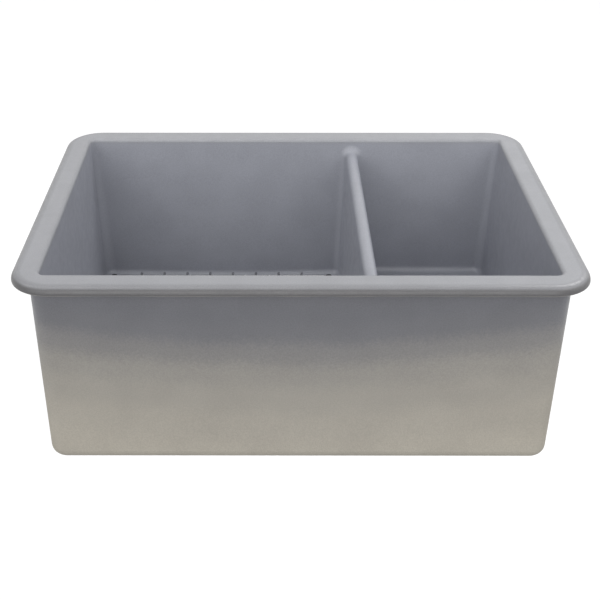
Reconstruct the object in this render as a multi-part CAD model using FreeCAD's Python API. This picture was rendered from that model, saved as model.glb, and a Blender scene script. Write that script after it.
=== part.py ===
# Double bowl undermount kitchen sink in thick glazed ceramic: one casting with a large bowl, a small
# bowl and a low divider, a wire bottom grid in the large bowl, and a basket strainer in each drain.
# Millimetres. The origin is the centre of the rim's top face, +X to the right, +Y to the back, +Z up.
import FreeCAD, Part
import math
import os

V = FreeCAD.Vector
UP = V(0, 0, 1)

# ---- casting: outside
SINK_WIDTH = 686.0            # rim, left to right
SINK_DEPTH = 505.0            # rim, front to back
SINK_HEIGHT = 264.0           # rim top to base
RIM_THICKNESS = 11.0
RIM_CORNER = 51.0
RIM_TOP_ROUND = 9.5
RIM_UNDER_ROUND = 1.2
RIM_OVERHANG = 21.5           # rim edge out from the body wall
BODY_CORNER = 22.0
BODY_DRAFT = 0.8              # degrees
NECK_ROUND = 4.0              # under the rim, where it meets the body
BASE_ROUND = 14.0

# ---- casting: bowls
RIM_SIDE = 34.0               # rim edge to the bowl wall, left and right
RIM_FRONT = 36.0
RIM_BACK = 34.5
FLOOR_THICKNESS = 32.0        # beside the drain
BOWL_DEPTH = SINK_HEIGHT - FLOOR_THICKNESS
SMALL_BOWL_RISE = 8.0         # small bowl's floor above the large one's
BOWL_DRAFT = 2.5              # degrees
BOWL_CORNER = 9.0             # upright corners of the bowls, at the rim
BOWL_CORNER_LOW = 16.0        # and at the floor
FLOOR_RADIUS = 4800.0         # of the shallow dish that falls to the drain
COVE_ROUND = 9.0
MOUTH_ROUND = 5.0             # bowl wall to rim top
DIVIDER_PLACE = 86.5          # centre of the divider, right of the sink's centre
DIVIDER_THICKNESS = 17.0      # at its top
DIVIDER_DROP = 20.0           # rim top to divider top
DIVIDER_DRAFT = 1.8           # degrees
DIVIDER_ROUND = 10.0          # divider to front and back walls

# ---- drain holes in the casting
DRAIN_HOLE = 90.0             # diameter
SEAT_DEPTH = 4.0              # recess in the bowl floor that takes the flange
SEAT_GAP = 2.0                # round the flange
SEAT_LIP = 2.5                # rounded edge of that recess
POCKET_DEPTH = 8.0            # recess in the base round the drain
POCKET_GAP = 12.0             # round the locknut, for a spanner

# ---- strainer
FLANGE_DIAMETER = 114.0
FLANGE_THICKNESS = 2.5
CUP_DIAMETER = 85.0           # outside, the threaded part
CUP_WALL = 1.5
THREAD_SPARE = 4.0            # straight part of the cup below the locknut
DISH_DROP = 8.0
SPUD_BORE = 40.0              # diameter
SPUD_WALL = 3.5
SPUD_LENGTH = 16.0
SHOULDER_DEPTH = 1.2          # step in the flange that carries the basket
SHOULDER_WIDTH = 5.0
SEAL_THICKNESS = 1.2
THREAD_GAP = 0.3              # between a ring and what it is threaded on, on radius
GASKET_THICKNESS = 3.0
FRICTION_THICKNESS = 1.0
GASKET_WIDTH = 12.0
LOCKNUT_HEIGHT = 12.0
LOCKNUT_WALL = 7.0
LOCKNUT_LUGS = 8
LUG_REACH = 6.0
LUG_WIDTH = 14.0

# ---- outlet
TAILPIECE_DIAMETER = 38.1
TAILPIECE_WALL = 1.2
TAILPIECE_LENGTH = 90.0
TAILPIECE_FLANGE = 2.0
TAILPIECE_NECK = 0.5          # the pipe is this much thicker on radius where the nut grips it
NECK_BELOW = 2.0              # how far that neck reaches below the nut
WASHER_THICKNESS = 2.0
COUPLING_WALL = 4.5
COUPLING_GRIP = 11.0          # height of coupling nut on the spud
COUPLING_LIP = 3.0
COUPLING_RIBS = 10
RIB_REACH = 2.5
RIB_WIDTH = 6.0

# ---- basket
LIP_GAP = 0.5                 # round the basket's lip, on radius
BASKET_SHEET = 1.0
BASKET_TAPER = 5.0            # the cup's foot is this much narrower on radius
BASKET_HEIGHT = 26.0
BASKET_CLEAR = 1.5            # round the cup, on radius
BASKET_HOLE = 4.5             # diameter
BASKET_RINGS = ((14.0, 8), (23.5, 14))   # radius and count of the floor's holes
BASKET_SLOTS = 12             # in the side wall
SLOT_WIDTH = 4.0
SLOT_HEIGHT = 11.0
HUB_WALL = 3.0
HUB_HEIGHT = 7.0
POST_DIAMETER = 6.0
KNOB_DIAMETER = 20.0
KNOB_HEIGHT = 10.0
KNOB_DOME = 4.5               # height of its domed top
KNOB_STEM = 12.0              # post seen between hub and knob when the stopper is down
COLLAR_DIAMETER = 11.0
COLLAR_HEIGHT = 2.0
STOPPER_TRAVEL = 8.0
STOPPER_DIAMETER = 52.0
STOPPER_THICKNESS = 5.0
STOPPER_NUT = 10.0            # across flats
STOPPER_NUT_HEIGHT = 4.0

# ---- bottom grid, in the large bowl
GRID_SIDE_GAP = 10.0          # frame to bowl wall, at the frame's height
GRID_END_GAP = 28.5
GRID_HEIGHT = 9.0             # bowl floor at the feet to the frame's underside
FRAME_WIRE = 5.0              # diameter
FRAME_CORNER = 14.0
GRID_WIRE = 4.0
GRID_PITCH = 36.0
GRID_PAIRS = 4                # front-to-back wires on each side of the drain
LONG_PITCH = 58.0
RING_BORE = 112.0             # wire ring round the drain, inside diameter
FOOT_DIAMETER = 9.0
FOOT_CAP = 1.5                # rubber above the frame wire
FOOT_DOME = 1.5               # round underside
REST_GAP = 0.3                # between a piece that lifts out and what it rests on
BUMPER_DIAMETER = 10.0
BUMPER_LENGTH = 16.0
FIT_GAP = 0.05                # between round pieces fastened to each other, on radius
EPS = 0.01                    # for finding edges by their place


def tan(angle):
    return math.tan(math.radians(angle))


def rounded_rect(x0, x1, y0, y1, radius, z):
    """Closed wire of a rectangle with round corners at height z."""
    k = radius * (1 - math.sqrt(0.5))
    corners = [((x1, y0 + radius), (x1 - k, y0 + k), (x1 - radius, y0)),
               ((x0 + radius, y0), (x0 + k, y0 + k), (x0, y0 + radius)),
               ((x0, y1 - radius), (x0 + k, y1 - k), (x0 + radius, y1)),
               ((x1 - radius, y1), (x1 - k, y1 - k), (x1, y1 - radius))]
    edges = []
    for i, (start, middle, end) in enumerate(corners):
        following = corners[(i + 1) % 4][0]
        edges.append(Part.Arc(V(*start, z), V(*middle, z), V(*end, z)).toShape())
        edges.append(Part.LineSegment(V(*end, z), V(*following, z)).toShape())
    return Part.Wire(edges)


def revolve(points, axis_x=0.0, axis_y=0.0):
    """Solid of revolution about a vertical axis. Each point is (r, z), or (r, z, rm, zm) for an arc
    that reaches it from the point before through (rm, zm)."""
    edges = []
    for i, point in enumerate(points):
        before = points[i - 1]
        a = V(before[0], 0, before[1])
        b = V(point[0], 0, point[1])
        if len(point) > 2:
            edges.append(Part.Arc(a, V(point[2], 0, point[3]), b).toShape())
        else:
            edges.append(Part.LineSegment(a, b).toShape())
    solid = Part.Face(Part.Wire(edges)).revolve(V(0, 0, 0), UP, 360)
    solid.translate(V(axis_x, axis_y, 0))
    return solid


def ring(inner, outer, z_low, z_high, axis_x, axis_y):
    """Flat ring between two radii."""
    return revolve([(inner, z_low), (outer, z_low), (outer, z_high), (inner, z_high)], axis_x, axis_y)


def dome_middle(radius, rise):
    """Halfway along a spherical dome's profile, from its rim to its crown: (r, height over the rim)."""
    ball = (radius ** 2 + rise ** 2) / (2 * rise)
    half = math.asin(radius / ball) / 2
    return ball * math.sin(half), rise - ball * (1 - math.cos(half))


def around(solid, count, axis_x, axis_y, start=0.0):
    """Copies of a solid, evenly spaced about a vertical axis."""
    copies = []
    for i in range(count):
        copy = solid.copy()
        copy.rotate(V(axis_x, axis_y, 0), UP, start + 360.0 * i / count)
        copies.append(copy)
    return copies


# ---------------------------------------------------------------- bowls: places shared by the pieces
class Bowl:
    """Walls of one bowl: where each stands at height z, how high its floor is, and where its drain is."""

    def __init__(self, left_is_divider, right_is_divider, rise=0.0):
        self.left_is_divider = left_is_divider
        self.right_is_divider = right_is_divider
        self.rise = rise
        level = -BOWL_DEPTH + rise
        self.drain_x = (self.left(level) + self.right(level)) / 2
        self.drain_y = (self.front(level) + self.back(level)) / 2

    def left(self, z):
        if self.left_is_divider:
            return DIVIDER_PLACE + divider_half(z)
        return -SINK_WIDTH / 2 + RIM_SIDE - z * tan(BOWL_DRAFT)

    def right(self, z):
        if self.right_is_divider:
            return DIVIDER_PLACE - divider_half(z)
        return SINK_WIDTH / 2 - RIM_SIDE + z * tan(BOWL_DRAFT)

    def front(self, z):
        return -SINK_DEPTH / 2 + RIM_FRONT - z * tan(BOWL_DRAFT)

    def back(self, z):
        return SINK_DEPTH / 2 - RIM_BACK + z * tan(BOWL_DRAFT)


def divider_half(z):
    """Half the divider's thickness at height z; its top is a half round."""
    return DIVIDER_THICKNESS / 2 - (z + DIVIDER_DROP) * tan(DIVIDER_DRAFT)


LARGE = Bowl(False, True)
SMALL = Bowl(True, False, SMALL_BOWL_RISE)
WHOLE = Bowl(False, False)

# heights shared by the two drains, from the top down; the small bowl's pieces are then raised with it
SEAT_TOP = -BOWL_DEPTH - SEAT_DEPTH
FLANGE_LOW = SEAT_TOP + SEAL_THICKNESS
FLANGE_TOP = FLANGE_LOW + FLANGE_THICKNESS
POCKET_TOP = -SINK_HEIGHT + POCKET_DEPTH
GASKET_LOW = POCKET_TOP - GASKET_THICKNESS
FRICTION_LOW = GASKET_LOW - FRICTION_THICKNESS
LOCKNUT_LOW = FRICTION_LOW - LOCKNUT_HEIGHT
CUP_LOW = LOCKNUT_LOW - THREAD_SPARE
DISH_LOW = CUP_LOW - DISH_DROP
SPUD_LOW = DISH_LOW - SPUD_LENGTH
WASHER_LOW = SPUD_LOW - WASHER_THICKNESS
OUTLET_LOW = WASHER_LOW - TAILPIECE_LENGTH

# radii shared by the drain pieces
CUP_RADIUS = CUP_DIAMETER / 2
CUP_BORE = CUP_RADIUS - CUP_WALL
SPUD_RADIUS = SPUD_BORE / 2 + SPUD_WALL
THREAD_RADIUS = CUP_RADIUS + THREAD_GAP
LOCKNUT_RADIUS = THREAD_RADIUS + LOCKNUT_WALL
SEAT_RADIUS = FLANGE_DIAMETER / 2 + SEAT_GAP
POST_RADIUS = POST_DIAMETER / 2


def floor_height(bowl, x, y):
    """Height of the bowl floor, a shallow dish about the drain."""
    out = math.hypot(x - bowl.drain_x, y - bowl.drain_y)
    return bowl.rise - BOWL_DEPTH + FLOOR_RADIUS - math.sqrt(FLOOR_RADIUS ** 2 - out ** 2)


# ------------------------------------------------------------------------------------- the casting
def rim_plate():
    x, y = SINK_WIDTH / 2, SINK_DEPTH / 2
    outline = rounded_rect(-x, x, -y, y, RIM_CORNER, -RIM_THICKNESS)
    plate = Part.Face(outline).extrude(V(0, 0, RIM_THICKNESS))
    top = [e for e in plate.Edges if e.BoundBox.ZMin > -EPS]
    plate = plate.makeFillet(RIM_TOP_ROUND, top)
    under = [e for e in plate.Edges if e.BoundBox.ZMax < -RIM_THICKNESS + EPS]
    return plate.makeFillet(RIM_UNDER_ROUND, under)


def body_block():
    """Outside of the body, from inside the rim down to the base, with its lower edge rounded."""
    wires = []
    for z in (-RIM_THICKNESS / 2, -SINK_HEIGHT):
        inset = RIM_OVERHANG - (z + RIM_THICKNESS) * tan(BODY_DRAFT)
        x, y = SINK_WIDTH / 2 - inset, SINK_DEPTH / 2 - inset
        wires.append(rounded_rect(-x, x, -y, y, BODY_CORNER, z))
    block = Part.makeLoft(wires, True, True)
    low = [e for e in block.Edges if e.BoundBox.ZMax < -SINK_HEIGHT + EPS]
    return block.makeFillet(BASE_ROUND, low)


def floor_wedge(bowl, x0, x1):
    """What stands under one bowl's floor, between two planes x0 and x1."""
    high = floor_height(bowl, bowl.drain_x + SINK_WIDTH, bowl.drain_y)
    slab = Part.makeBox(x1 - x0, 2 * SINK_DEPTH, SINK_HEIGHT + high, V(x0, -SINK_DEPTH, -SINK_HEIGHT))
    dish = Part.makeSphere(FLOOR_RADIUS)
    dish.rotate(V(0, 0, 0), V(1, 0, 0), 90)
    dish.translate(V(bowl.drain_x, bowl.drain_y, FLOOR_RADIUS - BOWL_DEPTH + bowl.rise))
    return slab.cut(dish)


def divider_bar():
    """The divider before it is blended into the walls: drafted sides and a half-round top."""
    half = DIVIDER_THICKNESS / 2
    top = -DIVIDER_DROP - half
    foot_half = divider_half(-SINK_HEIGHT) - divider_half(top) + half
    low = -SINK_HEIGHT
    points = [V(-foot_half, 0, low), V(-half, 0, top), V(half, 0, top), V(foot_half, 0, low)]
    edges = [Part.LineSegment(points[0], points[1]).toShape(),
             Part.Arc(points[1], V(0, 0, -DIVIDER_DROP), points[2]).toShape(),
             Part.LineSegment(points[2], points[3]).toShape(),
             Part.LineSegment(points[3], points[0]).toShape()]
    bar = Part.Face(Part.Wire(edges)).extrude(V(0, 2 * SINK_DEPTH, 0))
    bar.translate(V(DIVIDER_PLACE, -SINK_DEPTH, 0))
    return bar


def bowl_space():
    """The air in both bowls: drafted walls, dished floors with coves, and the blended divider."""
    wires = []
    for z in (MOUTH_ROUND, -BOWL_DEPTH - MOUTH_ROUND):
        corner = BOWL_CORNER - z / BOWL_DEPTH * (BOWL_CORNER_LOW - BOWL_CORNER)
        wires.append(rounded_rect(WHOLE.left(z), WHOLE.right(z), WHOLE.front(z), WHOLE.back(z), corner, z))
    space = Part.makeLoft(wires, True, True).cut(divider_bar())
    space = space.cut(floor_wedge(LARGE, -SINK_WIDTH, DIVIDER_PLACE))
    space = space.cut(floor_wedge(SMALL, DIVIDER_PLACE, SINK_WIDTH)).Solids[0]
    space = space.makeFillet(DIVIDER_ROUND, divider_ends(space))
    floor = [e for e in space.Edges if e.BoundBox.ZMax < -BOWL_DEPTH * 0.9]
    return space.makeFillet(min(COVE_ROUND, DIVIDER_ROUND), floor)


def divider_ends(space):
    """Edges where the divider runs into the front and back walls."""
    reach = divider_half(-SINK_HEIGHT) + EPS
    found = []
    for edge in space.Edges:
        box = edge.BoundBox
        near = abs(box.XMin - DIVIDER_PLACE) < reach and abs(box.XMax - DIVIDER_PLACE) < reach
        if near and box.YLength < SINK_DEPTH / 2 and box.ZMax > -BOWL_DEPTH / 2:
            found.append(edge)
    return found


def drain_cut(bowl):
    """Flange recess, drain hole, and the pocket in the base round the locknut."""
    hole = DRAIN_HOLE / 2
    pocket = LOCKNUT_RADIUS + LUG_REACH + POCKET_GAP
    below = -SINK_HEIGHT - POCKET_DEPTH
    roof = POCKET_TOP + bowl.rise
    seat = SEAT_TOP + bowl.rise
    above = -BOWL_DEPTH + SEAT_DEPTH + bowl.rise
    return revolve([(0, below), (pocket, below), (pocket, roof), (hole, roof), (hole, seat),
                    (SEAT_RADIUS, seat), (SEAT_RADIUS, above), (0, above)], bowl.drain_x, bowl.drain_y)


def seat_lips(casting):
    """Edges of the two flange recesses in the bowl floors."""
    found = []
    for edge in casting.Edges:
        box = edge.BoundBox
        for bowl in (LARGE, SMALL):
            ring_here = abs(box.Center.x - bowl.drain_x) < EPS and abs(box.XLength / 2 - SEAT_RADIUS) < EPS
            if ring_here and box.ZMin > -BOWL_DEPTH + bowl.rise:
                found.append(edge)
    return found


def sink_body():
    casting = body_block().fuse(rim_plate())
    x, y = SINK_WIDTH / 2 - RIM_UNDER_ROUND - EPS, SINK_DEPTH / 2 - RIM_UNDER_ROUND - EPS
    neck = []
    for edge in casting.Edges:
        box = edge.BoundBox
        level = abs(box.ZMin + RIM_THICKNESS) < EPS and abs(box.ZMax + RIM_THICKNESS) < EPS
        if level and max(abs(box.XMin), abs(box.XMax)) < x and max(abs(box.YMin), abs(box.YMax)) < y:
            neck.append(edge)
    casting = casting.makeFillet(NECK_ROUND, neck).cut(bowl_space())
    mouth = [e for e in casting.Edges if e.BoundBox.ZMin > -EPS
             and e.BoundBox.XMin > WHOLE.left(0) - EPS and e.BoundBox.XMax < WHOLE.right(0) + EPS
             and e.BoundBox.YMin > WHOLE.front(0) - EPS and e.BoundBox.YMax < WHOLE.back(0) + EPS]
    casting = casting.makeFillet(MOUTH_ROUND, mouth)
    casting = casting.cut(drain_cut(LARGE)).cut(drain_cut(SMALL))
    return casting.makeFillet(min(SEAT_LIP, SEAT_DEPTH - EPS), seat_lips(casting))


# ------------------------------------------------------------------------------- one drain's pieces
def strainer_body(x, y):
    """Pressed flange, threaded cup, dish with the stopper's seat, and threaded spud."""
    flange = FLANGE_DIAMETER / 2
    edge = FLANGE_THICKNESS / 2
    bend = edge * (1 - math.sqrt(0.5))
    shoulder = CUP_BORE + SHOULDER_WIDTH
    bore = SPUD_BORE / 2
    seat = STOPPER_DIAMETER / 2 + SHOULDER_WIDTH
    return revolve([
        (CUP_RADIUS, FLANGE_LOW), (flange, FLANGE_LOW), (flange, FLANGE_TOP - edge),
        (flange - edge, FLANGE_TOP, flange - bend, FLANGE_TOP - bend), (shoulder, FLANGE_TOP),
        (shoulder, FLANGE_TOP - SHOULDER_DEPTH), (CUP_BORE, FLANGE_TOP - SHOULDER_DEPTH),
        (CUP_BORE, CUP_LOW), (seat, DISH_LOW), (bore, DISH_LOW), (bore, SPUD_LOW),
        (SPUD_RADIUS, SPUD_LOW), (SPUD_RADIUS, DISH_LOW - CUP_WALL), (seat + CUP_WALL, DISH_LOW - CUP_WALL),
        (CUP_RADIUS, CUP_LOW)], x, y)


def flange_seal(x, y):
    return ring(THREAD_RADIUS, FLANGE_DIAMETER / 2, SEAT_TOP, FLANGE_LOW, x, y)


def sink_gasket(x, y):
    return ring(THREAD_RADIUS, THREAD_RADIUS + GASKET_WIDTH, GASKET_LOW, POCKET_TOP, x, y)


def friction_ring(x, y):
    return ring(THREAD_RADIUS, THREAD_RADIUS + GASKET_WIDTH, FRICTION_LOW, GASKET_LOW, x, y)


def locknut(x, y):
    """Threaded ring with lugs for a spanner; its lugs taper to the top face."""
    nut = ring(THREAD_RADIUS, LOCKNUT_RADIUS, LOCKNUT_LOW, FRICTION_LOW, x, y)
    lug = Part.makeBox(LUG_REACH + LOCKNUT_WALL / 2, LUG_WIDTH, LOCKNUT_HEIGHT,
                       V(x + LOCKNUT_RADIUS - LOCKNUT_WALL / 2, y - LUG_WIDTH / 2, LOCKNUT_LOW))
    outer = [e for e in lug.Edges if e.BoundBox.XMin > x + LOCKNUT_RADIUS and e.BoundBox.ZLength > EPS]
    lug = lug.makeChamfer(LUG_REACH / 2, outer)
    return nut.multiFuse(around(lug, LOCKNUT_LUGS, x, y)).removeSplitter()


def coupling_nut(x, y):
    """Ribbed nut on the spud; its lower lip pulls the tailpiece's flange against the spud."""
    bore = SPUD_RADIUS + THREAD_GAP
    outer = bore + COUPLING_WALL
    high = SPUD_LOW + COUPLING_GRIP
    lip_top = WASHER_LOW - TAILPIECE_FLANGE
    low = lip_top - COUPLING_LIP
    throat = TAILPIECE_DIAMETER / 2 + TAILPIECE_NECK + THREAD_GAP
    nut = revolve([(throat, low), (outer, low), (outer, high), (bore, high), (bore, lip_top),
                   (throat, lip_top)], x, y)
    rib = Part.makeBox(RIB_REACH + COUPLING_WALL / 2, RIB_WIDTH, high - low,
                       V(x + outer - COUPLING_WALL / 2, y - RIB_WIDTH / 2, low))
    return nut.multiFuse(around(rib, COUPLING_RIBS, x, y)).removeSplitter()


def tailpiece_washer(x, y):
    return ring(SPUD_BORE / 2, SPUD_RADIUS, WASHER_LOW, SPUD_LOW, x, y)


def tailpiece(x, y):
    """Straight outlet pipe with a flange at its top, and a thicker neck below that."""
    outer = TAILPIECE_DIAMETER / 2
    bore = outer - TAILPIECE_WALL
    under = WASHER_LOW - TAILPIECE_FLANGE
    neck = outer + TAILPIECE_NECK
    neck_low = under - COUPLING_LIP - NECK_BELOW
    return revolve([(bore, OUTLET_LOW), (outer, OUTLET_LOW), (outer, neck_low), (neck, neck_low),
                    (neck, under), (SPUD_RADIUS, under), (SPUD_RADIUS, WASHER_LOW), (bore, WASHER_LOW)], x, y)


LIP_LOW = FLANGE_TOP - SHOULDER_DEPTH + REST_GAP
BASKET_FOOT = LIP_LOW - BASKET_HEIGHT
HUB_TOP = BASKET_FOOT + HUB_HEIGHT
HUB_BORE = POST_RADIUS + REST_GAP
STOPPER_LOW = DISH_LOW + REST_GAP
COLLAR_TOP = BASKET_FOOT - STOPPER_TRAVEL - REST_GAP


def basket(x, y):
    """Pressed cup with a lip, holes in its floor, slots in its wall, and a hub for the post."""
    lip = CUP_BORE + SHOULDER_WIDTH - LIP_GAP
    top = CUP_BORE - BASKET_CLEAR
    foot = top - BASKET_TAPER
    inside = BASKET_FOOT + BASKET_SHEET
    hub = HUB_BORE + HUB_WALL
    cup = revolve([(top, LIP_LOW), (lip, LIP_LOW), (lip, LIP_LOW + BASKET_SHEET),
                   (top - BASKET_SHEET, LIP_LOW + BASKET_SHEET), (foot - BASKET_SHEET, inside),
                   (hub, inside), (hub, HUB_TOP), (HUB_BORE, HUB_TOP), (HUB_BORE, BASKET_FOOT),
                   (foot, BASKET_FOOT)], x, y)
    cuts = []
    below = BASKET_FOOT - BASKET_SHEET
    for radius, count in BASKET_RINGS:
        drill = Part.makeCylinder(BASKET_HOLE / 2, 3 * BASKET_SHEET, V(x + radius, y, below))
        cuts += around(drill, count, x, y)
    middle = BASKET_FOOT + BASKET_HEIGHT / 2
    slot = Part.makeBox(lip - foot + 2 * BASKET_SHEET, SLOT_WIDTH, SLOT_HEIGHT,
                        V(x + foot - 2 * BASKET_SHEET, y - SLOT_WIDTH / 2, middle - SLOT_HEIGHT / 2))
    cuts += around(slot, BASKET_SLOTS, x, y)
    return cup.cut(Part.makeCompound(cuts))


def basket_post(x, y):
    """Stem with a collar that stops its lift under the hub, and a mushroom knob on top."""
    knob = KNOB_DIAMETER / 2
    low = STOPPER_LOW - STOPPER_NUT_HEIGHT
    base = HUB_TOP + KNOB_STEM
    brim = base + KNOB_HEIGHT - KNOB_DOME
    side, rise = dome_middle(knob, KNOB_DOME)
    collar = COLLAR_DIAMETER / 2
    return revolve([
        (0, low), (POST_RADIUS, low), (POST_RADIUS, COLLAR_TOP - COLLAR_HEIGHT),
        (collar, COLLAR_TOP - COLLAR_HEIGHT), (collar, COLLAR_TOP), (POST_RADIUS, COLLAR_TOP),
        (POST_RADIUS, base), (knob - KNOB_DOME, base), (knob, brim),
        (0, brim + KNOB_DOME, side, brim + rise)], x, y)


def stopper(x, y):
    """Rubber disc held on the post's foot; its lower edge is bevelled to find the seat."""
    bore = POST_RADIUS + FIT_GAP
    outer = STOPPER_DIAMETER / 2
    bevel = STOPPER_THICKNESS * 0.4
    top = STOPPER_LOW + STOPPER_THICKNESS
    return revolve([(bore, STOPPER_LOW), (outer - bevel, STOPPER_LOW), (outer, STOPPER_LOW + bevel),
                    (outer, top), (bore, top)], x, y)


def stopper_nut(x, y):
    low = STOPPER_LOW - STOPPER_NUT_HEIGHT
    radius = STOPPER_NUT / math.sqrt(3)
    turns = [math.radians(60 * i) for i in range(7)]
    corners = [V(x + radius * math.cos(turn), y + radius * math.sin(turn), low) for turn in turns]
    blank = Part.Face(Part.makePolygon(corners)).extrude(V(0, 0, STOPPER_NUT_HEIGHT))
    return blank.cut(Part.makeCylinder(POST_RADIUS + FIT_GAP, STOPPER_NUT_HEIGHT, V(x, y, low)))


DRAIN_PIECES = {
    "strainer_body": strainer_body, "flange_seal": flange_seal, "sink_gasket": sink_gasket,
    "friction_ring": friction_ring, "locknut": locknut, "coupling_nut": coupling_nut,
    "tailpiece_washer": tailpiece_washer, "tailpiece": tailpiece, "basket": basket,
    "basket_post": basket_post, "stopper": stopper, "stopper_nut": stopper_nut,
}


# ---------------------------------------------------------------------- bottom grid, large bowl
GRID_LEVEL = -BOWL_DEPTH + GRID_HEIGHT
GRID_X0 = LARGE.left(GRID_LEVEL) + GRID_SIDE_GAP + FRAME_WIRE / 2      # centre lines of the frame wire
GRID_X1 = LARGE.right(GRID_LEVEL) - GRID_SIDE_GAP - FRAME_WIRE / 2
GRID_Y0 = LARGE.front(GRID_LEVEL) + GRID_END_GAP + FRAME_WIRE / 2
GRID_Y1 = LARGE.back(GRID_LEVEL) - GRID_END_GAP - FRAME_WIRE / 2
FOOT_INSET = FRAME_CORNER * (1 - math.sqrt(0.5))
FOOT_FLOOR = floor_height(LARGE, GRID_X0 + FOOT_INSET, GRID_Y0 + FOOT_INSET)
FRAME_Z = FOOT_FLOOR + GRID_HEIGHT + FRAME_WIRE / 2
FRAME_TOP = FRAME_Z + FRAME_WIRE / 2
LONG_Z = FRAME_TOP - GRID_WIRE / 2
CROSS_Z = FRAME_TOP + GRID_WIRE / 2
RING_RADIUS = RING_BORE / 2 + GRID_WIRE / 2


def rod(start, end, diameter):
    """Round wire between two points."""
    line = end.sub(start)
    return Part.makeCylinder(diameter / 2, line.Length, start, line)


def grid_frame():
    path = rounded_rect(GRID_X0, GRID_X1, GRID_Y0, GRID_Y1, FRAME_CORNER, FRAME_Z)
    start = V(GRID_X1, GRID_Y0 + FRAME_CORNER, FRAME_Z)
    section = Part.Wire(Part.Circle(start, V(0, 1, 0), FRAME_WIRE / 2).toShape())
    return path.makePipeShell([section], True, True)


def grid_cross_wires():
    """Front-to-back wires on top of the frame; those over the drain stop on the ring."""
    y0, y1 = GRID_Y0 - FRAME_WIRE / 2, GRID_Y1 + FRAME_WIRE / 2
    wires = []
    for side in (-1, 1):
        for i in range(GRID_PAIRS):
            offset = side * (i + 0.5) * GRID_PITCH
            x = LARGE.drain_x + offset
            if abs(offset) < RING_RADIUS:
                half = math.sqrt(RING_RADIUS ** 2 - offset ** 2)
                spans = ((y0, LARGE.drain_y - half), (LARGE.drain_y + half, y1))
            else:
                spans = ((y0, y1),)
            for a, b in spans:
                wires.append(rod(V(x, a, CROSS_Z), V(x, b, CROSS_Z), GRID_WIRE))
    return Part.makeCompound(wires)


def grid_long_wires():
    """Left-to-right wires between the frame's sides; the middle two carry the drain ring."""
    first = RING_RADIUS + GRID_WIRE
    x0, x1 = GRID_X0 + FRAME_WIRE / 2, GRID_X1 - FRAME_WIRE / 2
    wires = []
    for offset in (-first - LONG_PITCH, -first, first, first + LONG_PITCH):
        y = LARGE.drain_y + offset
        wires.append(rod(V(x0, y, LONG_Z), V(x1, y, LONG_Z), GRID_WIRE))
    return Part.makeCompound(wires)


def grid_drain_ring():
    return Part.makeTorus(RING_RADIUS, GRID_WIRE / 2, V(LARGE.drain_x, LARGE.drain_y, LONG_Z))


def grid_feet(frame):
    """Rubber feet threaded on the frame at its corners, round underneath."""
    radius = FOOT_DIAMETER / 2
    side, rise = dome_middle(radius, FOOT_DOME)
    high = FRAME_TOP + FOOT_CAP
    feet = []
    for x in (GRID_X0 + FOOT_INSET, GRID_X1 - FOOT_INSET):
        for y in (GRID_Y0 + FOOT_INSET, GRID_Y1 - FOOT_INSET):
            low = floor_height(LARGE, x, y) + REST_GAP
            bottom = low + FOOT_DOME
            feet.append(revolve([(0, low), (radius, bottom, side, bottom - rise), (radius, high), (0, high)],
                                x, y).cut(frame))
    return Part.makeCompound(feet)


def grid_bumpers(frame):
    """Short rubber sleeves on the frame's left and right sides, between the long wires."""
    along = RING_RADIUS + GRID_WIRE + LONG_PITCH / 2
    half = BUMPER_LENGTH / 2
    sleeves = []
    for x in (GRID_X0, GRID_X1):
        for y in (LARGE.drain_y - along, LARGE.drain_y + along):
            sleeves.append(rod(V(x, y - half, FRAME_Z), V(x, y + half, FRAME_Z), BUMPER_DIAMETER))
    return Part.makeCompound([sleeve.cut(frame) for sleeve in sleeves])


def main():
    os.makedirs("parts", exist_ok=True)
    frame = grid_frame()
    nodes = {"sink_body": sink_body(), "grid_frame": frame, "grid_cross_wires": grid_cross_wires(),
             "grid_long_wires": grid_long_wires(), "grid_drain_ring": grid_drain_ring(),
             "grid_feet": grid_feet(frame), "grid_bumpers": grid_bumpers(frame)}
    for name, bowl in (("large", LARGE), ("small", SMALL)):
        for piece, make in DRAIN_PIECES.items():
            shape = make(bowl.drain_x, bowl.drain_y)
            shape.translate(V(0, 0, bowl.rise))
            nodes[f"{name}_{piece}"] = shape
    for name, shape in nodes.items():
        shape.exportStep(f"parts/{name}.step")
        box = shape.BoundBox
        print(f"{name:24s} solids {len(shape.Solids):2d} valid {shape.isValid()} volume {shape.Volume:12.0f} "
              f"z {box.ZMin:8.2f} {box.ZMax:8.2f}")
    print("drains", round(LARGE.drain_x, 2), round(SMALL.drain_x, 2), round(LARGE.drain_y, 2))


main()
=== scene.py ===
"""Looks of a low-divide undermount kitchen sink in grey glazed fireclay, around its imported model."""

import math
from collections import namedtuple

import bmesh
import bpy
from mathutils import Matrix, Vector


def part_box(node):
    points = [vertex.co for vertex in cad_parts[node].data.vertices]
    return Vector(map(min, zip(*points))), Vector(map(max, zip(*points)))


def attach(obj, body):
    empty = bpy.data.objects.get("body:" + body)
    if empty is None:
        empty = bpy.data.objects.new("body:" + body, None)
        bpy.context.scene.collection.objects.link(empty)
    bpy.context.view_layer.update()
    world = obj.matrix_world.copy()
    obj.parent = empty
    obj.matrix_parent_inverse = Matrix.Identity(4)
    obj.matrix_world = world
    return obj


# Lengths are in metres and angles in degrees.

# Camera, found by fitting the rim, bowl and base lines of the photograph.
CAMERA_PLACE = Vector((-0.0318, -1.3548, 0.6072))
CAMERA_PITCH = 29.43
CAMERA_YAW = -0.143
CAMERA_ROLL = -0.025
SENSOR_WIDTH = 36.0           # millimetres
PICTURE_WIDTH = 600           # pixels
FOCAL_PIXELS = 1100.5
CAMERA_SHIFT = 0.0479         # the photograph is cropped off centre
CAMERA_REACH = 100.0          # the farthest that it sees

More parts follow.
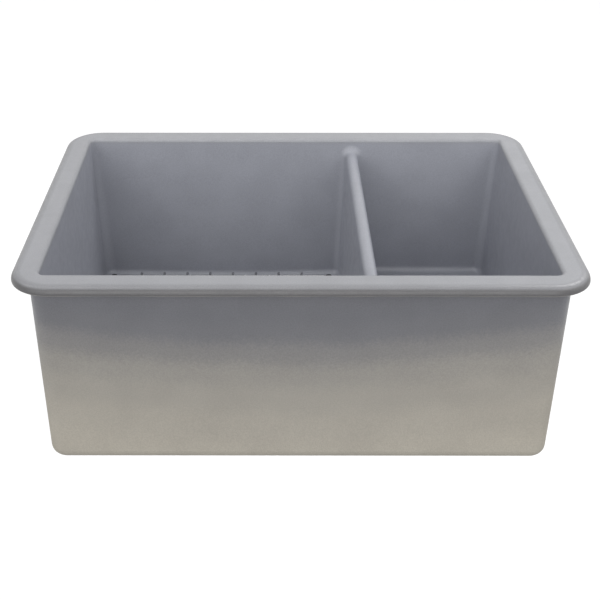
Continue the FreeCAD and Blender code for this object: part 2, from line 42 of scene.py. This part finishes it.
# Surroundings. The sink hangs from its rim, as under a worktop, so the floor is far below it.
FLOOR_LEVEL = -0.90
FLOOR_HALF = 20.0
FLOOR_COLOUR = 0.35
FLOOR_GLOW = 0.78             # what the floor needs beside its light to look white
SKY_STRENGTH = 0.30
# Wide far lights: name, strength, height above the horizon, turn from the front to the left, and spread.
FAR_LIGHTS = (("front", 1.00, 20.0, 0.0, 45.0),
              ("front_left", 0.50, 20.0, 40.0, 45.0),
              ("overhead", 0.68, 78.0, 90.0, 45.0))
# Round lights near the sink, whose light falls off along it: name, place, width and power in watts.
NEAR_LIGHTS = (("back_right", (1.16, 0.81, 1.41), 1.0, 12.2),
               ("right", (1.30, -0.30, 0.50), 1.0, 2.6),
               ("front_right", (1.00, -0.60, 0.95), 0.45, 1.8),
               ("near_left", (-1.00, -0.15, 0.75), 0.45, 1.6))

# Noise with features about size wide, stepped from low to high while it goes from start to end.
Pattern = namedtuple("Pattern", "size detail start end low high")
# Noise as a bump of so much depth.
Relief = namedtuple("Relief", "size detail depth")
# Two colours in patches, whose noise has this (size, detail), with a gloss and a relief of their own.
Finish = namedtuple("Finish", "colours patches gloss relief metallic")
# Metal with two colours and two levels of roughness, both for unmarked and marked places.
WornMetal = namedtuple("WornMetal", "marks colours roughness relief")

# Rounded rectangles seen from above: half length, half width and corner radius.
WALL_MIDDLE = (0.3140, 0.2230, 0.015)     # halfway through the casting's outer walls
RIM_OUTLINE = (0.3430, 0.2525, 0.0510)
BODY_X = 0.3215               # half sizes of the outside below the rim
BODY_Y = 0.2310
# Heights on the casting.
RIM_TINT = (-0.002, -0.010)   # from the rim's glaze to the bowls'
ROUNDING_END = -0.0095        # lower end of the rim's rounded edge
RUBBED_LEVEL = -0.0105        # where the glaze is rubbed off the rim's lower edge, and where that ends
RUBBED_END = -0.0125
FLOOR_MIDDLE = -0.240         # halfway through the bowls' floors
BASE_SPOT_RISE = (-0.2575, -0.2640)           # from clean ware to the darker spots along the base

# Glaze, painted shade and bare ware, as linear colours.
RIM_GLAZE = (0.352, 0.356, 0.378, 1)
GLAZE = (0.356, 0.366, 0.408, 1)
# Painted shade, darkening the rim towards and over its rounded edge.
EDGE_PAINTED_SHADE = (0.122, 0.120, 0.124, 1)
# Painted shade on the outside walls below the rim, which are glazed like the rim.
OUTER_PAINTED_SHADE = (0.179, 0.182, 0.202, 1)
BARE_WARE = (0.520, 0.485, 0.418, 1)
BARE_SHADE = (0.490, 0.456, 0.394, 1)
# Darker spots along the base's lower edge.
BASE_SPOT_COLOUR = (0.180, 0.150, 0.115, 1)
# How far inside the rim's outline, and how much painted shade there is there: the rim darkens towards
# and over its rounded edge.
EDGE_SHADE_STOPS = ((0.0135, 0.0), (0.0090, 0.23), (0.0045, 0.44), (0.0013, 1.0))
# Height on the outside, and how bare the ware is there.
FADE_STOPS = ((-0.048, 0.0), (-0.077, 0.04), (-0.106, 0.25), (-0.137, 0.53), (-0.171, 0.70),
              (-0.212, 0.87), (-0.262, 1.0))
CORNER_RISE = 0.030           # how much higher the bare ware reaches at the corners
# Clouds that make the fade uneven: their size, and the range over which they move it.
FADE_CLOUDS = ((0.24, 0.024), (0.012, 0.006), (0.0030, 0.018))

MOTTLE = Pattern(size=0.045, detail=4.0, start=0.35, end=0.65, low=0.95, high=1.0)
GRAIN = Pattern(size=0.0016, detail=2.0, start=0.25, end=0.75, low=0.93, high=1.07)
WARE_PATCHES = Pattern(size=0.06, detail=5.0, start=0.35, end=0.7, low=0.0, high=1.0)
BASE_SPOTS = Pattern(size=0.02, detail=4.0, start=0.58, end=0.72, low=0.0, high=0.7)
RUBBED_SPOTS = Pattern(size=0.05, detail=4.0, start=0.35, end=0.60, low=0.10, high=0.45)
GLAZE_ROUGHNESS = Pattern(size=0.010, detail=3.0, start=0.3, end=0.7, low=0.30, high=0.40)
BARE_ROUGHNESS = 0.45         # how much rougher bare ware is
ORANGE_PEEL = Relief(size=0.0030, detail=2.0, depth=0.00012)
WAVES = Relief(size=0.030, detail=1.0, depth=0.00035)
PITS = Relief(size=0.0012, detail=3.0, depth=0.00025)
PITTED_FROM = 0.2             # how bare the ware is where its pits begin

FINISHES = {
    "turned_steel": Finish(
        colours=((0.60, 0.60, 0.59, 1), (0.70, 0.70, 0.69, 1)), patches=(0.012, 3.0),
        gloss=Pattern(size=0.00035, detail=2.0, start=0.3, end=0.7, low=0.22, high=0.38),
        relief=Relief(size=0.00035, detail=2.0, depth=0.000012), metallic=1.0),
    "polished_wire": Finish(
        colours=((0.57, 0.57, 0.56, 1), (0.68, 0.68, 0.67, 1)), patches=(0.03, 2.0),
        gloss=Pattern(size=0.004, detail=3.0, start=0.3, end=0.7, low=0.14, high=0.28),
        relief=Relief(size=0.0008, detail=2.0, depth=0.00001), metallic=1.0),
    "weld_metal": Finish(
        colours=((0.42, 0.40, 0.37, 1), (0.58, 0.57, 0.55, 1)), patches=(0.002, 3.0),
        gloss=Pattern(size=0.001, detail=2.0, start=0.3, end=0.7, low=0.3, high=0.5),
        relief=Relief(size=0.0012, detail=3.0, depth=0.00008), metallic=1.0),
    "black_rubber": Finish(
        colours=((0.018, 0.018, 0.018, 1), (0.034, 0.034, 0.034, 1)), patches=(0.006, 4.0),
        gloss=Pattern(size=0.003, detail=2.0, start=0.3, end=0.7, low=0.55, high=0.75),
        relief=Relief(size=0.0007, detail=3.0, depth=0.00003), metallic=0.0),
    "grey_rubber": Finish(
        colours=((0.16, 0.16, 0.16, 1), (0.22, 0.22, 0.22, 1)), patches=(0.006, 4.0),
        gloss=Pattern(size=0.003, detail=2.0, start=0.3, end=0.7, low=0.55, high=0.75),
        relief=Relief(size=0.0007, detail=3.0, depth=0.00003), metallic=0.0),
    "moulded_white": Finish(
        colours=((0.74, 0.74, 0.71, 1), (0.82, 0.82, 0.80, 1)), patches=(0.01, 3.0),
        gloss=Pattern(size=0.003, detail=2.0, start=0.3, end=0.7, low=0.36, high=0.48),
        relief=Relief(size=0.0015, detail=2.0, depth=0.00002), metallic=0.0),
}
WORN_METALS = {
    "cast_brass": WornMetal(
        marks=Pattern(size=0.008, detail=4.0, start=0.45, end=0.7, low=0.0, high=1.0),
        colours=((0.46, 0.33, 0.13, 1), (0.66, 0.50, 0.24, 1)), roughness=(0.52, 0.34),
        relief=Relief(size=0.0011, detail=4.0, depth=0.00010)),
    "chrome_plate": WornMetal(
        marks=Pattern(size=0.014, detail=5.0, start=0.5, end=0.75, low=0.0, high=1.0),
        colours=((0.54, 0.55, 0.56, 1), (0.43, 0.44, 0.44, 1)), roughness=(0.07, 0.20),
        relief=Relief(size=0.02, detail=1.0, depth=0.00004)),
}
FIBRES = Pattern(size=0.0010, detail=4.0, start=0.3, end=0.7, low=0.0, high=1.0)
FIBRE_STRETCH = (1.0, 0.35, 3.0)
FIBRE_COLOURS = ((0.20, 0.125, 0.065, 1), (0.36, 0.25, 0.14, 1))
FIBRE_ROUGHNESS = 0.8
FIBRE_DEPTH = 0.00008

# Half sizes of the grid's weld beads, where a wire lies on another, ends against one or runs beside one.
CROSSING_BEAD = Vector((0.0027, 0.0027, 0.0011))
END_BEAD = Vector((0.0011, 0.0027, 0.0027))
SIDE_BEAD = Vector((0.0034, 0.0011, 0.0018))
BEAD_SIDES = 16
BEAD_BANDS = 6
BEAD_ROUND = 0.86             # the even part of a bead's reach
BEAD_BULGE = 0.14             # what it adds between the wires
BEAD_LOPSIDED = 0.06          # what it adds and takes away at three sides
BEAD_TWIST = 2.4              # radians from one bead to the next
SAME_POINT = 1e-6             # corners nearer than this are one
WELD_GAP = 0.001              # a ring and a wire nearer than this are welded

# Threads seen on the drains, as (lowest, highest, radius, pitch) from the strainer's top.
CUP_THREAD = (-0.0430, -0.0402, 0.0425, 0.0016)
SPUD_THREAD = (-0.0563, -0.0525, 0.0235, 0.0020)
TURN_POINTS = 60              # points in each turn


class Shading:
    """One material, with short calls for its nodes."""

    def __init__(self, name):
        self.material = bpy.data.materials.new(name)
        self.material.use_nodes = True
        self.nodes = self.material.node_tree.nodes
        self.links = self.material.node_tree.links
        self.shader = self.nodes["Principled BSDF"]
        self.place = self.nodes.new("ShaderNodeTexCoord").outputs["Object"]

    def set(self, socket, value):
        """Links an output to a socket, or writes a plain value there."""
        if isinstance(value, bpy.types.NodeSocket):
            self.links.new(value, socket)
        else:
            socket.default_value = value

    def surface(self, **values):
        """Sets the shader's own sockets, whose names have _ here for a space."""
        for name, value in values.items():
            self.set(self.shader.inputs[name.replace("_", " ")], value)

    def axes(self):
        """The object's own x, y and z."""
        node = self.nodes.new("ShaderNodeSeparateXYZ")
        self.set(node.inputs[0], self.place)
        return node.outputs

    def calc(self, operation, *values):
        """Sum, product or other operation of a Math node."""
        node = self.nodes.new("ShaderNodeMath")
        node.operation = operation
        for socket, value in zip(node.inputs, values):
            self.set(socket, value)
        return node.outputs[0]

    def mix(self, factor, low, high):
        """A colour from low, where factor is 0, to high, where it is 1."""
        node = self.nodes.new("ShaderNodeMix")
        node.data_type = "RGBA"
        colours = [socket for socket in node.inputs if socket.type == "RGBA"]
        for socket, value in zip([node.inputs[0]] + colours, (factor, low, high)):
            self.set(socket, value)
        return next(socket for socket in node.outputs if socket.type == "RGBA")

    def scale(self, colour, factor):
        """A colour made lighter or darker."""
        node = self.nodes.new("ShaderNodeVectorMath")
        node.operation = "SCALE"
        self.set(node.inputs[0], colour)
        self.set(node.inputs["Scale"], factor)
        return node.outputs[0]

    def step(self, value, start, end, low=0.0, high=1.0):
        """Smooth step from low, where value is start, to high, where it is end."""
        node = self.nodes.new("ShaderNodeMapRange")
        node.interpolation_type = "SMOOTHSTEP"
        for name, number in (("Value", value), ("From Min", start), ("From Max", end),
                             ("To Min", low), ("To Max", high)):
            self.set(node.inputs[name], number)
        return node.outputs[0]

    def curve(self, value, stops):
        """Smooth curve through (value, level) stops, whose values fall."""
        first, last = stops[0][0], stops[-1][0]
        even = self.nodes.new("ShaderNodeMapRange")
        for name, number in (("Value", value), ("From Min", first), ("From Max", last)):
            self.set(even.inputs[name], number)
        node = self.nodes.new("ShaderNodeValToRGB")
        self.set(node.inputs[0], even.outputs[0])
        node.color_ramp.interpolation = "EASE"
        bars = node.color_ramp.elements
        while len(bars) < len(stops):
            bars.new(0.5)
        for bar, (at, level) in zip(bars, stops):
            bar.position = (at - first) / (last - first)
            bar.color = (level, level, level, 1)
        return node.outputs[0]

    def inside(self, x, y, half_x, half_y, corner):
        """Way in from a rounded rectangle's outline: at most its corner radius, and below 0 outside it.

        x and y are distances from its middle, so neither is below 0.
        """
        dx = self.calc("MAXIMUM", self.calc("SUBTRACT", x, half_x - corner), 0.0)
        dy = self.calc("MAXIMUM", self.calc("SUBTRACT", y, half_y - corner), 0.0)
        square = self.calc("MULTIPLY_ADD", dx, dx, self.calc("MULTIPLY", dy, dy))
        return self.calc("SUBTRACT", corner, self.calc("SQRT", square))

    def stretch(self, factors):
        """The object's own place, scaled along x, y and z."""
        node = self.nodes.new("ShaderNodeMapping")
        self.set(node.inputs["Vector"], self.place)
        node.inputs["Scale"].default_value = factors
        return node.outputs[0]

    def lathe(self, centre):
        """Distance from an upright axis through centre, and height: noise by these makes rings."""
        x, y, z = self.axes()
        dx = self.calc("SUBTRACT", x, centre.x)
        dy = self.calc("SUBTRACT", y, centre.y)
        square = self.calc("ADD", self.calc("MULTIPLY", dx, dx), self.calc("MULTIPLY", dy, dy))
        node = self.nodes.new("ShaderNodeCombineXYZ")
        self.set(node.inputs[0], self.calc("SQRT", square))
        self.set(node.inputs[1], z)
        return node.outputs[0]

    def noise(self, size, detail=2.0, place=None):
        """Noise with features about size metres wide, around 0.5."""
        node = self.nodes.new("ShaderNodeTexNoise")
        self.set(node.inputs["Vector"], place or self.place)
        node.inputs["Scale"].default_value = 1 / size
        node.inputs["Detail"].default_value = detail
        return node.outputs["Fac"]

    def pattern(self, pattern, place=None):
        """Levels of a Pattern."""
        noise = self.noise(pattern.size, pattern.detail, place)
        return self.step(noise, pattern.start, pattern.end, pattern.low, pattern.high)

    def relief(self, relief, after=None, place=None):
        """Bump of a Relief, on top of an earlier bump."""
        return self.bump(self.noise(relief.size, relief.detail, place), relief.depth, after)

    def bump(self, height, depth, after=None):
        """Bump whose height runs over depth metres, on top of an earlier bump."""
        node = self.nodes.new("ShaderNodeBump")
        node.inputs["Distance"].default_value = depth
        self.set(node.inputs["Height"], height)
        if after:
            self.set(node.inputs["Normal"], after)
        return node.outputs[0]


def bareness(m, x, y, z):
    """How bare the outside is: lower down, sooner near the corners, and along the rim's lower edge."""
    across = m.calc("MINIMUM", m.calc("DIVIDE", x, BODY_X), m.calc("DIVIDE", y, BODY_Y))
    rise = m.calc("MULTIPLY", m.calc("POWER", across, 2.0), CORNER_RISE)
    level = m.calc("SUBTRACT", z, rise)
    for size, reach in FADE_CLOUDS:
        cloud = m.calc("SUBTRACT", m.noise(size), 0.5)
        level = m.calc("MULTIPLY_ADD", cloud, reach, level)
    rubbed = m.calc("GREATER_THAN", z, RUBBED_END)
    rubbed = m.calc("MULTIPLY", rubbed, m.step(z, ROUNDING_END, RUBBED_LEVEL))
    rubbed = m.calc("MULTIPLY", rubbed, m.pattern(RUBBED_SPOTS))
    return m.calc("MAXIMUM", m.curve(level, FADE_STOPS), rubbed)


def glaze_with_painted_shade(m, x, y, z, outside):
    """Glaze of the rim and the bowls, with painted shade round the rim's edge and on the outside below
    it.
    """
    # Painted shade towards and over the rim's rounded edge.
    edge = m.curve(m.inside(x, y, *RIM_OUTLINE), EDGE_SHADE_STOPS)
    outer_shade_mask = m.step(z, ROUNDING_END, RUBBED_LEVEL)
    glaze = m.mix(m.step(z, *RIM_TINT), RIM_GLAZE, GLAZE)
    glaze = m.mix(m.calc("MULTIPLY", edge, outside), glaze, EDGE_PAINTED_SHADE)
    # Painted shade on the outside below the rim.
    glaze = m.mix(m.calc("MULTIPLY", outer_shade_mask, outside), glaze, OUTER_PAINTED_SHADE)
    return m.scale(glaze, m.pattern(MOTTLE))


def ware_colour(m, z):
    """Bare ware in two shades, with darker spots along its base."""
    ware = m.mix(m.pattern(WARE_PATCHES), BARE_WARE, BARE_SHADE)
    base_spots = m.calc("MULTIPLY", m.step(z, *BASE_SPOT_RISE), m.pattern(BASE_SPOTS))
    return m.mix(base_spots, ware, BASE_SPOT_COLOUR)


def fireclay():
    """Matte grey glaze that fades outside, low on the walls, to bare ware."""
    m = Shading("fireclay")
    x, y, z = m.axes()
    x = m.calc("ABSOLUTE", x)
    y = m.calc("ABSOLUTE", y)
    outside = m.calc("MAXIMUM", m.calc("LESS_THAN", m.inside(x, y, *WALL_MIDDLE), 0.0),
                     m.calc("LESS_THAN", z, FLOOR_MIDDLE))
    bare = m.calc("MULTIPLY", bareness(m, x, y, z), outside)
    colour = m.mix(bare, glaze_with_painted_shade(m, x, y, z, outside), ware_colour(m, z))
    rough = m.calc("MULTIPLY_ADD", bare, BARE_ROUGHNESS, m.pattern(GLAZE_ROUGHNESS))
    pits = m.calc("MULTIPLY", m.noise(PITS.size, PITS.detail), m.step(bare, PITTED_FROM, 1.0))
    smooth = m.relief(WAVES, after=m.relief(ORANGE_PEEL))
    m.surface(Base_Color=m.scale(colour, m.pattern(GRAIN)), Roughness=rough,
              Normal=m.bump(pits, PITS.depth, smooth))
    return m.material


def plain_material(kind, turned_about=None):
    """Material of one of the FINISHES, with its fine lines in rings about a point that it turned on."""
    look = FINISHES[kind]
    m = Shading(kind)
    place = m.lathe(turned_about) if turned_about else m.place
    m.surface(Base_Color=m.mix(m.noise(*look.patches), *look.colours), Metallic=look.metallic,
              Roughness=m.pattern(look.gloss, place), Normal=m.relief(look.relief, place=place))
    return m.material


def worn_metal(kind):
    """Material of one of the WORN_METALS."""
    look = WORN_METALS[kind]
    m = Shading(kind)
    marks = m.pattern(look.marks)
    m.surface(Base_Color=m.mix(marks, *look.colours), Metallic=1.0,
              Roughness=m.step(marks, 0.0, 1.0, *look.roughness), Normal=m.relief(look.relief))
    return m.material


def pressed_fibre():
    """Brown fibre board, with its fibres lying flat."""
    m = Shading("pressed_fibre")
    place = m.stretch(FIBRE_STRETCH)
    m.surface(Base_Color=m.mix(m.pattern(FIBRES, place), *FIBRE_COLOURS), Roughness=FIBRE_ROUGHNESS,
              Normal=m.bump(m.noise(FIBRES.size, FIBRES.detail, place), FIBRE_DEPTH))
    return m.material


def loose_parts(node):
    """Lowest and highest corners of each separate part of a CAD node, in a set order."""
    shape = bmesh.new()
    shape.from_mesh(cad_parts[node].data)
    bmesh.ops.remove_doubles(shape, verts=shape.verts, dist=SAME_POINT)
    left = set(shape.verts)
    parts = []
    while left:
        ahead = [left.pop()]
        places = []
        while ahead:
            vert = ahead.pop()
            places.append(vert.co.copy())
            beside = {edge.other_vert(vert) for edge in vert.link_edges} & left
            left -= beside
            ahead += beside
        parts.append((Vector(map(min, *places)), Vector(map(max, *places))))
    shape.free()
    return sorted(parts, key=lambda corners: tuple(corners[0]))


def weld_places():
    """Where the grid's wires are welded, with the half sizes of each bead."""
    low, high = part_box("grid_frame")
    ring_low, ring_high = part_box("grid_drain_ring")
    inset = (high.z - low.z) / 2
    long_wires = loose_parts("grid_long_wires")
    places = []
    for first, last in loose_parts("grid_cross_wires"):
        x = (first.x + last.x) / 2
        for y in (max(first.y, low.y + inset), min(last.y, high.y - inset)):
            places.append((Vector((x, y, first.z)), CROSSING_BEAD))
        for near, far in long_wires:
            if first.y < near.y and far.y < last.y:
                places.append((Vector((x, (near.y + far.y) / 2, first.z)), CROSSING_BEAD))
    for near, far in long_wires:
        centre = (near + far) / 2
        for x in (near.x, far.x):
            places.append((Vector((x, centre.y, centre.z)), END_BEAD))
        for y, side in ((ring_low.y, far.y), (ring_high.y, near.y)):
            if abs(y - side) < WELD_GAP:
                places.append((Vector(((ring_low.x + ring_high.x) / 2, y, centre.z)), SIDE_BEAD))
    return places


def bead(shape, place, half, twist):
    """Adds one weld bead: a lump that is uneven all round, and fuller between the wires."""
    rings = []
    for band in range(1, BEAD_BANDS):
        lean = math.pi * (band / BEAD_BANDS - 0.5)
        ring = []
        for side in range(BEAD_SIDES):
            angle = 2 * math.pi * side / BEAD_SIDES
            uneven = BEAD_BULGE * abs(math.sin(2 * angle)) + BEAD_LOPSIDED * math.sin(3 * angle + twist)
            reach = math.cos(lean) * (BEAD_ROUND + uneven)
            offset = Vector((reach * math.cos(angle), reach * math.sin(angle), math.sin(lean)))
            ring.append(shape.verts.new(place + offset * half))
        rings.append(ring)
    ends = [shape.verts.new(place + Vector((0, 0, way)) * half) for way in (-1, 1)]
    for side in range(BEAD_SIDES):
        after = (side + 1) % BEAD_SIDES
        for low, high in zip(rings, rings[1:]):
            shape.faces.new((low[side], low[after], high[after], high[side]))
        shape.faces.new((ends[0], rings[0][after], rings[0][side]))
        shape.faces.new((ends[1], rings[-1][side], rings[-1][after]))


def new_piece(name, data, body, material):
    """Adds a piece that rides on a CAD body."""
    data.materials.append(material)
    made = bpy.data.objects.new(name, data)
    bpy.context.scene.collection.objects.link(made)
    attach(made, body)


def weld_beads():
    """Adds the beads that join the grid's wires, as one piece."""
    shape = bmesh.new()
    for number, (place, half) in enumerate(weld_places()):
        bead(shape, place, half, BEAD_TWIST * number)
    for face in shape.faces:
        face.smooth = True
    mesh = bpy.data.meshes.new("grid_weld_beads")
    shape.to_mesh(mesh)
    shape.free()
    new_piece("grid_weld_beads", mesh, "grid", plain_material("weld_metal"))


def thread(name, strainer, sizes, material):
    """Adds the turns of a rolled thread round a strainer."""
    low, high, radius, pitch = sizes
    axis = middle(strainer)
    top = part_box(strainer)[1].z
    curve = bpy.data.curves.new(name, "CURVE")
    curve.dimensions = "3D"
    curve.bevel_depth = pitch / 3     # leaves a third of the pitch between turns
    curve.bevel_resolution = 2
    line = curve.splines.new("POLY")
    count = round(TURN_POINTS * (high - low) / pitch)
    line.points.add(count)
    for i, point in enumerate(line.points):
        angle = 2 * math.pi * i / TURN_POINTS
        point.co = (axis.x + radius * math.cos(angle), axis.y + radius * math.sin(angle),
                    top + low + pitch * i / TURN_POINTS, 1)
    new_piece(name, curve, "sink", material)


def dress(node, material):
    """Gives a CAD node its material."""
    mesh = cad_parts[node].data
    mesh.materials.clear()
    mesh.materials.append(material)


def middle(node):
    """The middle of a CAD node's box."""
    low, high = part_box(node)
    return (low + high) / 2


def dress_all():
    """Gives every CAD node its material, and adds the threads and the weld beads."""
    dress("sink_body", fireclay())
    wire = plain_material("polished_wire")
    for piece in ("frame", "cross_wires", "long_wires", "drain_ring"):
        dress("grid_" + piece, wire)
    black = plain_material("black_rubber")
    dress("grid_feet", black)
    dress("grid_bumpers", black)
    plate = worn_metal("chrome_plate")
    shared = {
        "flange_seal": plain_material("grey_rubber"),
        "sink_gasket": black,
        "friction_ring": pressed_fibre(),
        "locknut": worn_metal("cast_brass"),
        "coupling_nut": plate,
        "tailpiece_washer": plain_material("moulded_white"),
        "tailpiece": plate,
        "stopper": black,
    }
    for bowl in ("large", "small"):
        strainer = f"{bowl}_strainer_body"
        for piece, material in shared.items():
            dress(f"{bowl}_{piece}", material)
        turned = plain_material("turned_steel", turned_about=middle(strainer))
        for piece in ("strainer_body", "basket", "basket_post", "stopper_nut"):
            dress(f"{bowl}_{piece}", turned)
        thread(f"{bowl}_cup_thread", strainer, CUP_THREAD, turned)
        thread(f"{bowl}_spud_thread", strainer, SPUD_THREAD, turned)
    weld_beads()


def camera():
    """Adds the photograph's camera."""
    pitch = math.radians(CAMERA_PITCH)
    yaw = math.radians(CAMERA_YAW)
    roll = math.radians(CAMERA_ROLL)
    ahead = Vector((math.sin(yaw) * math.cos(pitch), math.cos(yaw) * math.cos(pitch), -math.sin(pitch)))
    right = Vector((math.cos(yaw), -math.sin(yaw), 0))
    up = right.cross(ahead)
    side = right * math.cos(roll) + up * math.sin(roll)
    top = up * math.cos(roll) - right * math.sin(roll)
    data = bpy.data.cameras.new("camera")
    data.sensor_width = SENSOR_WIDTH
    data.lens = SENSOR_WIDTH * FOCAL_PIXELS / PICTURE_WIDTH
    data.shift_x = CAMERA_SHIFT
    data.clip_end = CAMERA_REACH
    made = bpy.data.objects.new("camera", data)
    turn = Matrix((side, top, -ahead)).transposed()
    made.matrix_world = Matrix.Translation(CAMERA_PLACE) @ turn.to_4x4()
    bpy.context.scene.collection.objects.link(made)
    bpy.context.scene.camera = made


def seen_directly(nodes, links):
    """1 for rays from the camera, or by way of gloss or glass, and 0 for the light itself."""
    path = nodes.new("ShaderNodeLightPath")
    first = nodes.new("ShaderNodeMath")
    first.operation = "MAXIMUM"
    links.new(path.outputs["Is Camera Ray"], first.inputs[0])
    links.new(path.outputs["Is Glossy Ray"], first.inputs[1])
    second = nodes.new("ShaderNodeMath")
    second.operation = "MAXIMUM"
    links.new(first.outputs[0], second.inputs[0])
    links.new(path.outputs["Is Transmission Ray"], second.inputs[1])
    return second.outputs[0]


def sky():
    """Even sky that lights the sink at a plain level, and itself looks white."""
    world = bpy.data.worlds.new("sky")
    bpy.context.scene.world = world
    world.use_nodes = True
    nodes, links = world.node_tree.nodes, world.node_tree.links
    backdrop = nodes["Background"]
    backdrop.inputs["Color"].default_value = (1, 1, 1, 1)
    level = nodes.new("ShaderNodeMapRange")
    links.new(seen_directly(nodes, links), level.inputs["Value"])
    level.inputs["To Min"].default_value = SKY_STRENGTH
    level.inputs["To Max"].default_value = 1.0
    links.new(level.outputs[0], backdrop.inputs["Strength"])


def far_light(name, strength, elevation, turn, spread):
    """Adds a wide light at a height above the horizon, turned from the front towards the left."""
    data = bpy.data.lights.new(name, "SUN")
    data.energy = strength
    data.angle = math.radians(spread)
    made = bpy.data.objects.new(name, data)
    made.rotation_euler = (math.radians(90 - elevation), 0, -math.radians(turn))
    bpy.context.scene.collection.objects.link(made)


def near_light(name, place, width, power):
    """Adds a round soft light near the sink, that shines on its middle and isn't seen itself."""
    place = Vector(place)
    data = bpy.data.lights.new(name, "AREA")
    data.shape = "DISK"
    data.size = width
    data.energy = power
    made = bpy.data.objects.new(name, data)
    made.matrix_world = Matrix.Translation(place) @ place.to_track_quat("Z", "Y").to_matrix().to_4x4()
    made.visible_camera = False
    bpy.context.scene.collection.objects.link(made)


def floor():
    """Adds a pale floor that keeps the sink's shadow and looks white beside it."""
    mesh = bpy.data.meshes.new("floor")
    shape = bmesh.new()
    corners = [shape.verts.new((x * FLOOR_HALF, y * FLOOR_HALF, FLOOR_LEVEL))
               for x, y in ((-1, -1), (1, -1), (1, 1), (-1, 1))]
    shape.faces.new(corners)
    shape.to_mesh(mesh)
    shape.free()
    made = bpy.data.objects.new("floor", mesh)
    bpy.context.scene.collection.objects.link(made)
    m = Shading("floor_paint")
    m.surface(Base_Color=(FLOOR_COLOUR, FLOOR_COLOUR, FLOOR_COLOUR, 1), Roughness=1.0,
              Specular_IOR_Level=0.0, Emission_Color=(1, 1, 1, 1))
    glow = m.calc("MULTIPLY", seen_directly(m.nodes, m.links), FLOOR_GLOW)
    m.surface(Emission_Strength=glow)
    mesh.materials.append(m.material)


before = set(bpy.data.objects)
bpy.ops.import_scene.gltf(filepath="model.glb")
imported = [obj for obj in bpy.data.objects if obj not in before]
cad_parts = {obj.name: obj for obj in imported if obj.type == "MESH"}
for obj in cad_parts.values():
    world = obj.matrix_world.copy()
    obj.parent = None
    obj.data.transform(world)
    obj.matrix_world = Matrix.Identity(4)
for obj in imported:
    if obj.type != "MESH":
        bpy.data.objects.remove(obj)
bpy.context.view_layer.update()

camera()
sky()
for light in FAR_LIGHTS:
    far_light(*light)
for light in NEAR_LIGHTS:
    near_light(*light)
floor()
dress_all()

bpy.context.scene.view_settings.view_transform = "Standard"
